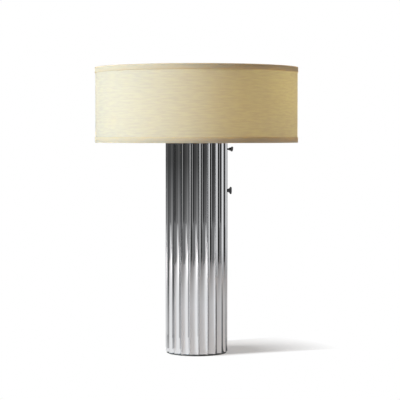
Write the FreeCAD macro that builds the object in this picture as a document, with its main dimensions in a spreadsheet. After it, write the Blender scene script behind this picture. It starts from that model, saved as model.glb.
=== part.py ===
"""Table lamp with a fluted column, a wide drum shade and two turn switches.

Millimetres, +Z up. The origin is the middle of the felt foot, on the surface that the lamp stands on.
The switch keys point along +X and the front of the lamp faces -Y.
"""
import FreeCAD, Part
import Sketcher
import math
import os
from types import SimpleNamespace

SIZES = {
    # Fluted column: radius over the sharp edges between the flutes
    "column_radius": 62.5,
    "column_height": 437.0,
    "column_wall": 1.6,
    "flute_count": 22,
    "flute_depth": 4.15,
    "edge_land": 0.15,
    # Foot
    "felt_thickness": 1.2,
    "felt_inset": 0.5,
    "lip_thickness": 1.8,
    "lip_inset": 1.8,
    "boss_height": 14.0,
    "recess_radius": 11.0,
    "recess_depth": 9.0,
    # Tie pipe and its hardware
    "pipe_radius": 5.0,
    "pipe_bore": 3.5,
    "pipe_end": 1.5,
    "wire_hole": 2.2,
    "nut_radius": 8.1,
    "nut_height": 5.0,
    "washer_radius": 9.5,
    "washer_thickness": 1.5,
    # Cord inlet at the back of the column
    "inlet_height": 28.0,
    "inlet_flute": 6,
    "inlet_bore": 3.6,
    "inlet_wall": 1.2,
    "inlet_flange": 6.0,
    "inlet_flange_height": 2.0,
    "inlet_tail": 6.0,
    "keeper_radius": 7.5,
    "keeper_thickness": 1.5,
    # Top of the column
    "cap_overhang": 0.6,
    "cap_thickness": 2.5,
    "cap_bevel": 0.6,
    "cap_boss": 5.0,
    "cap_rim": 2.0,
    "check_radius": 14.0,
    "check_height": 3.0,
    "neck_radius": 8.0,
    "neck_height": 20.0,
    # Two light cluster
    "cluster_radius": 19.0,
    "cluster_height": 30.0,
    "cluster_wall": 1.5,
    "port_height": 16.5,
    "cover_thickness": 2.5,
    "cover_rim": 4.0,
    "cover_boss_radius": 7.0,
    "cover_boss_height": 5.0,
    "splice_radius": 4.5,
    "splice_height": 15.0,
    # Lamp holders
    "nipple_grip": 4.0,
    "nipple_reach": 7.0,
    "socket_gap": 0.6,
    "socket_radius": 18.5,
    "socket_length": 46.0,
    "socket_back": 9.0,
    "socket_bore": 14.6,
    "socket_rounding": 3.0,
    "shell_wall": 0.5,
    "shell_length": 27.0,
    "contact_radius": 4.0,
    "contact_height": 2.5,
    # Bulbs
    "bulb_radius": 30.0,
    "bulb_length": 106.0,
    "bulb_cap_radius": 13.4,
    "bulb_cap_length": 25.0,
    "bulb_cap_taper": 5.0,
    "bulb_neck": 12.6,
    "bulb_seat": 6.0,
    "glass": 1.0,
    # Shade
    "shade_radius": 203.0,
    "shade_height": 150.5,
    "shade_drop": 16.0,
    "cloth": 0.7,
    "lining": 0.8,
    "trim_height": 11.0,
    "trim_inner_height": 6.0,
    "tape": 1.0,
    "ring_wire": 1.6,
    # Shade carrier
    "spider_drop": 20.0,
    "spider_wire": 1.4,
    "spider_arms": 3,
    "spider_turn": 90.0,
    "hub_radius": 13.0,
    "hub_thickness": 3.2,
    "stem_radius": 4.0,
    "seat_radius": 9.0,
    "seat_thickness": 3.0,
    "stud_radius": 3.1,
    "stud_length": 12.0,
    "finial_foot": 7.0,
    "finial_foot_height": 2.0,
    "finial_waist": 4.2,
    "finial_neck": 2.5,
    "finial_ball": 6.5,
    # Switches: the upper one's depth below the column's top, and the step down to the lower one
    "switch_drop": 29.0,
    "switch_spacing": 83.5,
    "switch_radius": 11.0,
    "switch_length": 21.0,
    "bush_radius": 3.5,
    "bush_root": 6.0,
    "saddle": 1.65,
    "switch_nut_radius": 5.3,
    "switch_nut_height": 2.4,
    "shaft_radius": 1.7,
    "shaft_root": 12.0,
    "shaft_tip_radius": 1.0,
    "shaft_tip": 3.5,
    "blade_length": 7.0,
    "blade_width": 4.0,
    "blade_thickness": 0.8,
    "blade_spacing": 8.0,
    # Turn keys: turned from upright about the shaft, and how far each stands off its nut
    "key_length": 9.0,
    "key_width": 15.0,
    "key_neck": 6.6,
    "key_lobe": 2.0,
    "key_thickness": 3.2,
    "key_rounding": 1.0,
    "upper_key_gap": 3.2,
    "lower_key_gap": 0.6,
    "upper_key_turn": 58.0,
    "lower_key_turn": 10.0,
    # Inner leads
    "lead_radius": 1.3,
    "lead_bend": 8.0,
    "lead_pipe_bend": 3.0,
    "lead_stand": 14.0,
    # Clearances: threads and sliding fits, curved seats, the plugs in the column, the turning shade,
    # and the trim's notches round the spider's arms
    "fit": 0.05,
    "seat_gap": 0.1,
    "plug_gap": 0.3,
    "turn_gap": 0.15,
    "notch_gap": 0.8,
}

FLARE_ANGLE = 70.0
TIP_ANGLE = 85.0
BULB_SHOULDER = 45.0


class Size:
    """A length that keeps its number together with the sheet formula behind it."""

    def __init__(self, value, formula):
        self.value = value
        self.formula = formula

    def __add__(self, other):
        other = as_size(other)
        return Size(self.value + other.value, f"({self.formula} + {other.formula})")

    def __sub__(self, other):
        other = as_size(other)
        return Size(self.value - other.value, f"({self.formula} - {other.formula})")

    def __mul__(self, other):
        other = as_size(other)
        return Size(self.value * other.value, f"({self.formula} * {other.formula})")

    def __truediv__(self, other):
        other = as_size(other)
        return Size(self.value / other.value, f"({self.formula} / {other.formula})")

    def __neg__(self):
        return Size(-self.value, f"(0 - {self.formula})")

    def __rsub__(self, other):
        return as_size(other) - self

    __radd__ = __add__
    __rmul__ = __mul__

    def __rtruediv__(self, other):
        return as_size(other) / self


def as_size(number):
    if isinstance(number, Size):
        return number
    return Size(float(number), f"{float(number):.9f}")


def sine(degrees):
    degrees = as_size(degrees)
    return Size(math.sin(math.radians(degrees.value)), f"sin({degrees.formula})")


def cosine(degrees):
    degrees = as_size(degrees)
    return Size(math.cos(math.radians(degrees.value)), f"cos({degrees.formula})")


def root(square):
    return Size(math.sqrt(square.value), f"sqrt({square.formula})")


doc = FreeCAD.newDocument("table_lamp")
sheet = doc.addObject("Spreadsheet::Sheet", "Sizes")
for row, (alias, number) in enumerate(SIZES.items(), start=1):
    sheet.set(f"A{row}", alias)
    sheet.set(f"B{row}", str(number))
    sheet.setAlias(f"B{row}", alias)
doc.recompute()

s = SimpleNamespace(**{alias: Size(float(sheet.get(alias)), f"Sizes.{alias}") for alias in SIZES})
pieces = {}


def bind(item, name, size):
    """Tie one property of an object to its sheet formula."""
    item.setExpression(name, as_size(size).formula)


def place(item, x=0, y=0, z=0, turn=0, axis=(0, 0, 1)):
    """Put an object at x, y, z, turned about one axis, with every number tied to the sheet."""
    item.Placement = FreeCAD.Placement(
        FreeCAD.Vector(as_size(x).value, as_size(y).value, as_size(z).value),
        FreeCAD.Rotation(FreeCAD.Vector(*axis), as_size(turn).value),
    )
    for name, size in (("x", x), ("y", y), ("z", z)):
        if isinstance(size, Size):
            bind(item, f"Placement.Base.{name}", size)
    if isinstance(turn, Size):
        bind(item, "Placement.Rotation.Angle", turn)


def keep(label, item):
    """Name an object as one of the lamp's pieces."""
    item.Label = label
    pieces[label] = item
    return item


def origin_plane(body, role):
    return next(feature for feature in body.Origin.OriginFeatures if feature.Role == role)


def new_sketch(body, role="XZ_Plane"):
    sketch = body.newObject("Sketcher::SketchObject", f"{body.Name}_sketch")
    sketch.AttachmentSupport = [(origin_plane(body, role), "")]
    sketch.MapMode = "FlatFace"
    return sketch


def constrain(sketch, kind, geometry, size):
    """Add one constraint and tie it to the sheet."""
    size = as_size(size)
    index = sketch.addConstraint(Sketcher.Constraint(kind, *geometry, size.value))
    if "Sizes" in size.formula:
        bind(sketch, f"Constraints[{index}]", size)


def arc_between(start, end, radius):
    """Arc under a half circle from start to end. A positive radius bends to the left."""
    chord = end - start
    middle = (start + end) * 0.5
    side = FreeCAD.Vector(-chord.y, chord.x, 0).normalize()
    rise = math.sqrt(radius * radius - chord.Length ** 2 / 4)
    centre = middle + side * math.copysign(rise, radius)
    first, last = (start, end) if radius > 0 else (end, start)
    begin = math.atan2(first.y - centre.y, first.x - centre.x)
    finish = math.atan2(last.y - centre.y, last.x - centre.x)
    if finish < begin:
        finish += 2 * math.pi
    circle = Part.Circle(centre, FreeCAD.Vector(0, 0, 1), abs(radius))
    return Part.ArcOfCircle(circle, begin, finish)


def draw_loop(sketch, points):
    """Closed outline through points (u, v) or (u, v, radius of the arc that leads to the point)."""
    corners = [FreeCAD.Vector(as_size(point[0]).value, as_size(point[1]).value, 0) for point in points]
    edges = []
    for index, corner in enumerate(corners):
        after = (index + 1) % len(points)
        bend = as_size(points[after][2]) if len(points[after]) > 2 else None
        if bend is None:
            number = sketch.addGeometry(Part.LineSegment(corner, corners[after]), False)
            edges.append((number, 1, 2))
        else:
            number = sketch.addGeometry(arc_between(corner, corners[after], bend.value), False)
            edges.append((number, 1, 2) if bend.value > 0 else (number, 2, 1))
    for index, (number, begin, finish) in enumerate(edges):
        following, joint, _ = edges[(index + 1) % len(edges)]
        sketch.addConstraint(Sketcher.Constraint("Coincident", number, finish, following, joint))
    for index, (number, begin, finish) in enumerate(edges):
        constrain(sketch, "DistanceX", (-1, 1, number, begin), points[index][0])
        constrain(sketch, "DistanceY", (-1, 1, number, begin), points[index][1])
        after = points[(index + 1) % len(points)]
        if len(after) > 2:
            bend = as_size(after[2])
            constrain(sketch, "Radius", (number,), bend if bend.value > 0 else -bend)


def draw_circle(sketch, u, v, radius):
    centre = FreeCAD.Vector(as_size(u).value, as_size(v).value, 0)
    circle = Part.Circle(centre, FreeCAD.Vector(0, 0, 1), as_size(radius).value)
    number = sketch.addGeometry(circle, False)
    constrain(sketch, "DistanceX", (-1, 1, number, 3), u)
    constrain(sketch, "DistanceY", (-1, 1, number, 3), v)
    constrain(sketch, "Radius", (number,), radius)


def revolve(body, sketch, axis):
    feature = body.newObject("PartDesign::Revolution", f"{body.Name}_turn")
    feature.Profile = sketch
    feature.ReferenceAxis = (sketch, [axis])
    feature.Angle = 360
    return feature


def turned(label, points):
    """Lathe part about Z: its outline is given as (radius, height) points."""
    body = doc.addObject("PartDesign::Body", label)
    sketch = new_sketch(body)
    draw_loop(sketch, points)
    revolve(body, sketch, "V_Axis")
    return body


def turned_across(label, points, z=0, turn=0):
    """Lathe part about a level axis: (radius, distance from the column's axis) points, turned about Z."""
    body = doc.addObject("PartDesign::Body", label)
    sketch = new_sketch(body)
    flipped = [(point[1], point[0], -as_size(point[2])) if len(point) > 2 else (point[1], point[0])
               for point in points]
    draw_loop(sketch, flipped)
    revolve(body, sketch, "H_Axis")
    place(body, z=z, turn=turn)
    return body


def tube_points(inner, outer, low, high):
    return [(inner, low), (outer, low), (outer, high), (inner, high)]


def rod_points(radius, low, high):
    return [(0, low), (radius, low), (radius, high), (0, high)]


def upright_rod(label, radius, height, x=0, y=0, z=0):
    rod = doc.addObject("Part::Cylinder", label)
    bind(rod, "Radius", radius)
    bind(rod, "Height", height)
    place(rod, x, y, z)
    return rod


def cut(label, base, *tools):
    """Base with each tool taken away in turn."""
    for number, tool in enumerate(tools):
        feature = doc.addObject("Part::Cut", f"{label}_cut{number}")
        feature.Base = base
        feature.Tool = tool
        base = feature
    return base


def combine(kind, label, first, second):
    feature = doc.addObject(kind, label)
    feature.Base = first
    feature.Tool = second
    return feature


def hex_nut(label, radius, height, bore, z):
    """Six sided nut about Z."""
    prism = doc.addObject("Part::Prism", f"{label}_prism")
    prism.Polygon = 6
    bind(prism, "Circumradius", radius)
    bind(prism, "Height", height)
    place(prism, z=z)
    hole = upright_rod(f"{label}_hole", bore, height, z=z)
    return keep(label, cut(label, prism, hole))


def fluted_bar(label, radius, groove, height, low):
    """Round bar with a ring of round grooves cut along it."""
    body = doc.addObject("PartDesign::Body", label)
    outline = new_sketch(body, "XY_Plane")
    draw_circle(outline, 0, 0, radius)
    bar = body.newObject("PartDesign::Pad", f"{label}_bar")
    bar.Profile = outline
    bind(bar, "Length", height)
    section = new_sketch(body, "XY_Plane")
    draw_circle(section, flute_centre, 0, groove)
    flute = body.newObject("PartDesign::Pocket", f"{label}_flute")
    flute.Profile = section
    flute.Type = "ThroughAll"
    flute.Reversed = True
    ring = body.newObject("PartDesign::PolarPattern", f"{label}_ring")
    ring.Originals = [flute]
    ring.Axis = (section, ["N_Axis"])
    ring.Angle = 360
    bind(ring, "Occurrences", s.flute_count)
    body.Tip = ring
    place(body, z=low)
    return body


def lead(label, corners, bends):
    """Wire along straight runs joined by tangent arcs, through corner points in the XZ plane."""
    points = [FreeCAD.Vector(x.value, 0, z.value) for x, z in corners]
    edges = []
    begin = points[0]
    for corner, after, bend in zip(points[1:-1], points[2:], bends):
        back = (begin - corner).normalize()
        ahead = (after - corner).normalize()
        reach = bend.value / math.tan(back.getAngle(ahead) / 2)
        inward = (back + ahead).normalize()
        depth = bend.value / math.sin(back.getAngle(ahead) / 2)
        middle = corner + inward * (depth - bend.value)
        edges.append(Part.LineSegment(begin, corner + back * reach).toShape())
        edges.append(Part.Arc(corner + back * reach, middle, corner + ahead * reach).toShape())
        begin = corner + ahead * reach
    edges.append(Part.LineSegment(begin, points[-1]).toShape())
    path = Part.Wire(edges)
    section = Part.Wire([Part.Circle(points[0], points[1] - points[0], s.lead_radius.value).toShape()])
    item = doc.addObject("Part::Feature", label)
    item.Shape = path.makePipeShell([section], True, False)
    area = math.pi * s.lead_radius.value ** 2
    print(f"{label}: volume over section times length {item.Shape.Volume / (area * path.Length):.4f}")
    return keep(label, item)


# Levels and radii that several pieces share

half_flute = 180 / s.flute_count
half_chord = s.column_radius * sine(half_flute)
flute_radius = (half_chord * half_chord + s.flute_depth * s.flute_depth) / (2 * s.flute_depth)
valley = s.column_radius * cosine(half_flute) - s.flute_depth
flute_centre = valley + flute_radius
crest = valley - s.column_wall
plug_radius = crest - s.plug_gap

pipe_hole = s.pipe_radius + s.fit
lip_low = s.felt_thickness
column_low = lip_low + s.lip_thickness
column_top = column_low + s.column_height
cap_top = column_top + s.cap_thickness
neck_low = cap_top + s.check_height
cluster_low = neck_low + s.neck_height
cluster_floor = cluster_low + s.cluster_wall
pipe_top = cluster_floor + s.nut_height + s.pipe_end
cluster_top = cluster_low + s.cluster_height
cover_top = cluster_top + s.cover_thickness
port_level = cluster_low + s.port_height

shade_low = column_top - s.shade_drop
shade_top = shade_low + s.shade_height
panel_low = shade_low + s.tape
panel_top = shade_top - s.tape
cloth_inner = s.shade_radius - s.cloth
lining_inner = cloth_inner - s.lining
ring_radius = lining_inner - s.ring_wire - s.fit
ring_level = panel_top - s.ring_wire
hub_level = ring_level - s.spider_drop
hub_low = hub_level - s.hub_thickness / 2
hub_top = hub_level + s.hub_thickness / 2
seat_top = hub_low - s.seat_gap
stud_top = seat_top + s.stud_length

upper_level = column_top - s.switch_drop
lower_level = upper_level - s.switch_spacing
switch_face = crest - s.seat_gap
switch_back = switch_face - s.switch_length
saddle_top = valley + s.saddle
nut_face = saddle_top + s.switch_nut_height
blade_end = switch_back - s.blade_length
socket_root = s.cluster_radius + s.socket_gap
socket_mouth = socket_root + s.socket_length
socket_floor = socket_root + s.socket_back


# Foot: felt, weighted plate, and the nut that pulls the tie pipe down

lip_radius = s.column_radius - s.lip_inset
recess_top = lip_low + s.recess_depth
keep("felt_pad", upright_rod("felt_pad", lip_radius - s.felt_inset, s.felt_thickness))
keep("base_plate", turned("base_plate", [
    (s.recess_radius, lip_low),
    (lip_radius, lip_low),
    (lip_radius, column_low),
    (plug_radius, column_low),
    (plug_radius, column_low + s.boss_height),
    (pipe_hole, column_low + s.boss_height),
    (pipe_hole, recess_top),
    (s.recess_radius, recess_top),
]))
washer_low = recess_top - s.washer_thickness
base_nut_low = washer_low - s.nut_height
keep("base_washer", turned("base_washer", tube_points(pipe_hole, s.washer_radius, washer_low, recess_top)))
hex_nut("base_nut", s.nut_radius, s.nut_height, pipe_hole, base_nut_low)


# Column: a fluted tube of even wall with holes for the switches and the cord

inlet_turn = s.inlet_flute * 360 / s.flute_count
inlet_outer = s.inlet_bore + s.inlet_wall
tube = cut(
    "fluted_column",
    fluted_bar("column_outside", s.column_radius - s.edge_land, flute_radius, s.column_height, column_low),
    fluted_bar("column_inside", s.column_radius - s.column_wall, flute_radius + s.column_wall,
               s.column_height, column_low),
    turned_across("upper_hole", rod_points(s.bush_radius + s.fit, switch_face, nut_face), upper_level),
    turned_across("lower_hole", rod_points(s.bush_radius + s.fit, switch_face, nut_face), lower_level),
    turned_across("inlet_hole", rod_points(inlet_outer + s.fit, switch_face, nut_face), s.inlet_height,
                  inlet_turn),
)
keep("fluted_column", tube)


# Cord inlet: an insulating bush whose flange is shaped to the flute, held by a push on ring inside

inlet_face = valley + s.inlet_flange_height
keeper_face = crest - s.seat_gap
flange = combine(
    "Part::Common",
    "inlet_flange_seat",
    turned_across("inlet_flange_disc", tube_points(s.inlet_bore, s.inlet_flange, valley - s.column_wall / 2,
                                                   inlet_face), s.inlet_height, inlet_turn),
    upright_rod("inlet_flute_form", flute_radius - s.fit, 2 * s.inlet_height,
                flute_centre * cosine(inlet_turn), flute_centre * sine(inlet_turn)),
)
barrel = turned_across("inlet_barrel", tube_points(s.inlet_bore, inlet_outer, crest - s.inlet_tail,
                                                   inlet_face), s.inlet_height, inlet_turn)
keep("cord_bush", combine("Part::Fuse", "cord_bush", barrel, flange))
keep("bush_keeper", turned_across("bush_keeper", tube_points(
    inlet_outer + s.fit, s.keeper_radius, keeper_face - s.keeper_thickness, keeper_face),
    s.inlet_height, inlet_turn))


# Tie pipe and the pieces that it clamps on top of the column

pipe_low = base_nut_low - s.pipe_end
feed_level = upper_level + s.blade_spacing / 2
pipe = turned("tie_pipe_tube", tube_points(s.pipe_bore, s.pipe_radius, pipe_low, pipe_top))
wire_hole = turned_across("pipe_wire_hole", rod_points(s.wire_hole, 0, 2 * s.pipe_radius), feed_level)
keep("tie_pipe", cut("tie_pipe", pipe, wire_hole))
cap_radius = s.column_radius + s.cap_overhang
keep("top_cap", turned("top_cap", [
    (pipe_hole, column_top),
    (plug_radius - s.cap_rim, column_top),
    (plug_radius - s.cap_rim, column_top - s.cap_boss),
    (plug_radius, column_top - s.cap_boss),
    (plug_radius, column_top),
    (cap_radius, column_top),
    (cap_radius, cap_top - s.cap_bevel),
    (cap_radius - s.cap_bevel, cap_top),
    (pipe_hole, cap_top),
]))
keep("check_ring", turned("check_ring", [
    (pipe_hole, cap_top),
    (s.check_radius, cap_top),
    (s.check_radius, cap_top + s.check_height / 2),
    (s.neck_radius, neck_low),
    (pipe_hole, neck_low),
]))
keep("neck_spacer", turned("neck_spacer", tube_points(pipe_hole, s.neck_radius, neck_low, cluster_low)))


# Cluster: the cup that carries both lamp holders, its nut, cover and wire splice

cup_inner = s.cluster_radius - s.cluster_wall
cup = turned("cluster_cup", [
    (pipe_hole, cluster_low),
    (s.neck_radius, cluster_low),
    (s.cluster_radius, cluster_low + s.cluster_wall),
    (s.cluster_radius, cluster_top),
    (cup_inner, cluster_top),
    (cup_inner, cluster_floor + s.cluster_wall),
    (s.neck_radius + s.cluster_wall, cluster_floor),
    (pipe_hole, cluster_floor),
])
ports = [
    turned_across(f"cluster_port{side}", rod_points(pipe_hole, 0, 2 * s.cluster_radius), port_level, side)
    for side in (0, 180)
]
keep("cluster_body", cut("cluster_body", cup, *ports))
hex_nut("cluster_nut", s.nut_radius, s.nut_height, pipe_hole, cluster_floor)
stem_hole = s.stem_radius + s.fit
rim_outer = cup_inner - s.fit
rim_low = cluster_top - s.cover_rim
boss_top = cover_top + s.cover_boss_height
keep("cluster_cover", turned("cluster_cover", [
    (stem_hole, cluster_top),
    (rim_outer - s.cluster_wall, cluster_top),
    (rim_outer - s.cluster_wall, rim_low),
    (rim_outer, rim_low),
    (rim_outer, cluster_top),
    (s.cluster_radius, cluster_top),
    (s.cover_boss_radius, cover_top),
    (s.cover_boss_radius, boss_top),
    (stem_hole, boss_top),
]))
splice_low = pipe_top + s.seat_gap
keep("wire_splice", turned("wire_splice", [
    (0, splice_low),
    (s.splice_radius, splice_low),
    (s.splice_radius, splice_low + s.splice_height / 2),
    (s.splice_radius / 2, splice_low + s.splice_height),
    (0, splice_low + s.splice_height),
]))


# Lamp holders and bulbs, one set to the left and one to the right

shell_outer = s.socket_bore - s.fit
shell_inner = shell_outer - s.shell_wall
shell_root = socket_mouth - s.shell_length
contact_face = socket_floor + s.contact_height
lead_end = socket_root + s.nipple_reach
bulb_tip = contact_face + s.fit
bulb_cap_low = bulb_tip + s.bulb_cap_taper
bulb_cap_high = bulb_tip + s.bulb_cap_length
glass_low = bulb_cap_high - s.bulb_seat
globe_middle = bulb_tip + s.bulb_length - s.bulb_radius
shoulder_fall = s.bulb_radius * sine(BULB_SHOULDER)
shoulder_radius = s.bulb_radius * cosine(BULB_SHOULDER)
flare_radius = (shoulder_radius - s.bulb_neck) / (1 - cosine(BULB_SHOULDER))
neck_high = globe_middle - shoulder_fall - flare_radius * sine(BULB_SHOULDER)
globe_inner = s.bulb_radius - s.glass
inner_shoulder = globe_inner * cosine(BULB_SHOULDER)
inner_fall = globe_inner * sine(BULB_SHOULDER)
for hand, side in (("right", 0), ("left", 180)):
    keep(f"{hand}_nipple", turned_across(f"{hand}_nipple", tube_points(
        s.pipe_bore, s.pipe_radius, cup_inner - s.nipple_grip, lead_end), port_level, side))
    keep(f"{hand}_socket_lead", turned_across(f"{hand}_socket_lead", rod_points(
        s.lead_radius, s.splice_radius + s.seat_gap, lead_end), port_level, side))
    keep(f"{hand}_socket_body", turned_across(f"{hand}_socket_body", [
        (pipe_hole, socket_root),
        (s.socket_radius - s.socket_rounding, socket_root),
        (s.socket_radius, socket_root + s.socket_rounding, s.socket_rounding),
        (s.socket_radius, socket_mouth),
        (s.socket_bore, socket_mouth),
        (s.socket_bore, socket_floor),
        (0, socket_floor),
        (0, lead_end),
        (pipe_hole, lead_end),
    ], port_level, side))
    keep(f"{hand}_screw_shell", turned_across(f"{hand}_screw_shell", tube_points(
        shell_inner, shell_outer, shell_root, socket_mouth), port_level, side))
    keep(f"{hand}_centre_contact", turned_across(f"{hand}_centre_contact", rod_points(
        s.contact_radius, socket_floor, contact_face), port_level, side))
    keep(f"{hand}_bulb_cap", turned_across(f"{hand}_bulb_cap", [
        (0, bulb_tip),
        (s.contact_radius, bulb_tip),
        (s.bulb_cap_radius, bulb_cap_low),
        (s.bulb_cap_radius, bulb_cap_high),
        (s.bulb_neck + s.fit, bulb_cap_high),
        (s.bulb_neck + s.fit, glass_low),
        (0, glass_low),
    ], port_level, side))
    keep(f"{hand}_bulb_globe", turned_across(f"{hand}_bulb_globe", [
        (s.bulb_neck - s.glass, glass_low),
        (s.bulb_neck, glass_low),
        (s.bulb_neck, neck_high),
        (shoulder_radius, globe_middle - shoulder_fall, -flare_radius),
        (0, globe_middle + s.bulb_radius, s.bulb_radius),
        (0, globe_middle + globe_inner),
        (inner_shoulder, globe_middle - inner_fall, -globe_inner),
        (s.bulb_neck - s.glass, neck_high, flare_radius + s.glass),
    ], port_level, side))


# Shade carrier: stem on the cluster, the spider whose arms hold the top ring, and the finial

keep("riser_stem", turned("riser_stem", [
    (0, cluster_top),
    (s.stem_radius, cluster_top),
    (s.stem_radius, seat_top - s.seat_thickness),
    (s.seat_radius, seat_top - s.seat_thickness),
    (s.seat_radius, seat_top),
    (s.stud_radius, seat_top),
    (s.stud_radius, stud_top),
    (0, stud_top),
]))
spider = turned("spider", tube_points(s.stud_radius + s.turn_gap, s.hub_radius, hub_low, hub_top))
arm_root = s.hub_radius - 2 * s.spider_wire
arm_end = ring_radius - s.ring_wire - s.seat_gap
path = new_sketch(spider)
path.addGeometry(Part.LineSegment(
    FreeCAD.Vector(arm_root.value, hub_level.value, 0),
    FreeCAD.Vector(arm_end.value, ring_level.value, 0)), False)
constrain(path, "DistanceX", (-1, 1, 0, 1), arm_root)
constrain(path, "DistanceY", (-1, 1, 0, 1), hub_level)
constrain(path, "DistanceX", (-1, 1, 0, 2), arm_end)
constrain(path, "DistanceY", (-1, 1, 0, 2), ring_level)
arm_section = new_sketch(spider, "YZ_Plane")
bind(arm_section, "AttachmentOffset.Base.z", arm_root)
draw_circle(arm_section, 0, hub_level, s.spider_wire)
arm = spider.newObject("PartDesign::AdditivePipe", "spider_arm")
arm.Profile = arm_section
arm.Spine = path
arms = spider.newObject("PartDesign::PolarPattern", "spider_arms")
arms.Originals = [arm]
arms.Axis = (path, ["V_Axis"])
arms.Angle = 360
bind(arms, "Occurrences", s.spider_arms)
spider.Tip = arms
place(spider, turn=s.spider_turn)
keep("spider", spider)

finial_low = hub_top + s.seat_gap
waist_level = finial_low + s.finial_foot_height + s.finial_neck
ball_rise = root(s.finial_ball * s.finial_ball - s.finial_waist * s.finial_waist)
ball_level = waist_level + ball_rise
keep("finial", turned("finial", [
    (s.stud_radius + s.fit, finial_low),
    (s.finial_foot, finial_low),
    (s.finial_foot, finial_low + s.finial_foot_height),
    (s.finial_waist, waist_level),
    (s.finial_ball, ball_level, s.finial_ball),
    (0, ball_level + s.finial_ball, s.finial_ball),
    (0, stud_top + s.seat_gap),
    (s.stud_radius + s.fit, stud_top + s.seat_gap),
]))


# Shade: styrene lining, cloth laid over it, the two wire rings and the folded trim tapes

keep("shade_lining", turned("shade_lining", tube_points(lining_inner, cloth_inner, panel_low, panel_top)))
keep("shade_cloth", turned("shade_cloth", tube_points(cloth_inner, s.shade_radius, panel_low, panel_top)))
for label, level in (("top_ring", ring_level), ("bottom_ring", panel_low + s.ring_wire)):
    ring = doc.addObject("Part::Torus", label)
    bind(ring, "Radius1", ring_radius)
    bind(ring, "Radius2", s.ring_wire)
    place(ring, z=level)
    keep(label, ring)
trim_outer = s.shade_radius + s.tape
trim_pocket = ring_radius - s.ring_wire - s.fit
trim_inner = trim_pocket - s.tape
trims = {}
for label, edge, fold, outer_end, inner_end in (
    ("top_trim", shade_top, panel_top, shade_top - s.trim_height, shade_top - s.trim_inner_height),
    ("bottom_trim", shade_low, panel_low, shade_low + s.trim_height, shade_low + s.trim_inner_height),
):
    trims[label] = turned(f"{label}_tape", [
        (s.shade_radius, outer_end),
        (trim_outer, outer_end),
        (trim_outer, edge),
        (trim_inner, edge),
        (trim_inner, inner_end),
        (trim_pocket, inner_end),
        (trim_pocket, fold),
        (s.shade_radius, fold),
    ])
notches = [
    turned_across(f"trim_notch{number}", rod_points(
        s.spider_wire + s.notch_gap, trim_inner - s.tape, ring_radius), ring_level,
        s.spider_turn + number * 360 / s.spider_arms)
    for number in range(round(s.spider_arms.value))
]
keep("top_trim", cut("top_trim", trims["top_trim"], *notches))
keep("bottom_trim", trims["bottom_trim"])


# Switches: each has a body inside the column, a bush through the flute, and a key on its shaft

flare_share = 1 - cosine(FLARE_ANGLE)
flare_and_lobe = (s.key_width - s.key_neck) / 2 / flare_share
key_flare = flare_and_lobe - s.key_lobe
lobe_height = s.key_width / 2 - s.key_lobe
tip_height = lobe_height + s.key_lobe * cosine(TIP_ANGLE)
tip_radius = tip_height / cosine(TIP_ANGLE)
tip_bulge = tip_radius * (1 - sine(TIP_ANGLE))
tip_start = s.key_length - tip_bulge
lobe_middle = tip_start - s.key_lobe * sine(TIP_ANGLE)
flare_start = lobe_middle - flare_and_lobe * sine(FLARE_ANGLE)
flare_end = flare_start + key_flare * sine(FLARE_ANGLE)
flare_height = s.key_neck / 2 + key_flare * flare_share


def turn_key(label, level, gap, turn):
    """Flat fan shaped key with a blind hole for the end of its shaft."""
    body = doc.addObject("PartDesign::Body", label)
    outline = new_sketch(body)
    draw_loop(outline, [
        (0, -s.key_neck / 2),
        (flare_start, -s.key_neck / 2),
        (flare_end, -flare_height, -key_flare),
        (tip_start, -tip_height, s.key_lobe),
        (tip_start, tip_height, tip_radius),
        (flare_end, flare_height, s.key_lobe),
        (flare_start, s.key_neck / 2, -key_flare),
        (0, s.key_neck / 2),
    ])
    blade = body.newObject("PartDesign::Pad", f"{label}_blade")
    blade.Profile = outline
    blade.Midplane = True
    bind(blade, "Length", s.key_thickness)
    doc.recompute()
    half = s.key_thickness.value / 2
    rims = [f"Edge{number}" for number, edge in enumerate(blade.Shape.Edges, start=1)
            if abs(abs(edge.CenterOfMass.y) - half) < 1e-6 and edge.CenterOfMass.x > 1e-6]
    rounding = body.newObject("PartDesign::Fillet", f"{label}_rounding")
    rounding.Base = (blade, rims)
    bind(rounding, "Radius", s.key_rounding)
    hole_sketch = new_sketch(body, "YZ_Plane")
    draw_circle(hole_sketch, 0, 0, s.shaft_tip_radius + s.fit)
    hole = body.newObject("PartDesign::Pocket", f"{label}_hole")
    hole.Profile = hole_sketch
    hole.Reversed = True
    bind(hole, "Length", s.shaft_tip + s.seat_gap)
    place(body, x=nut_face + gap, z=level, turn=turn, axis=(1, 0, 0))
    return keep(label, body)


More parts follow.
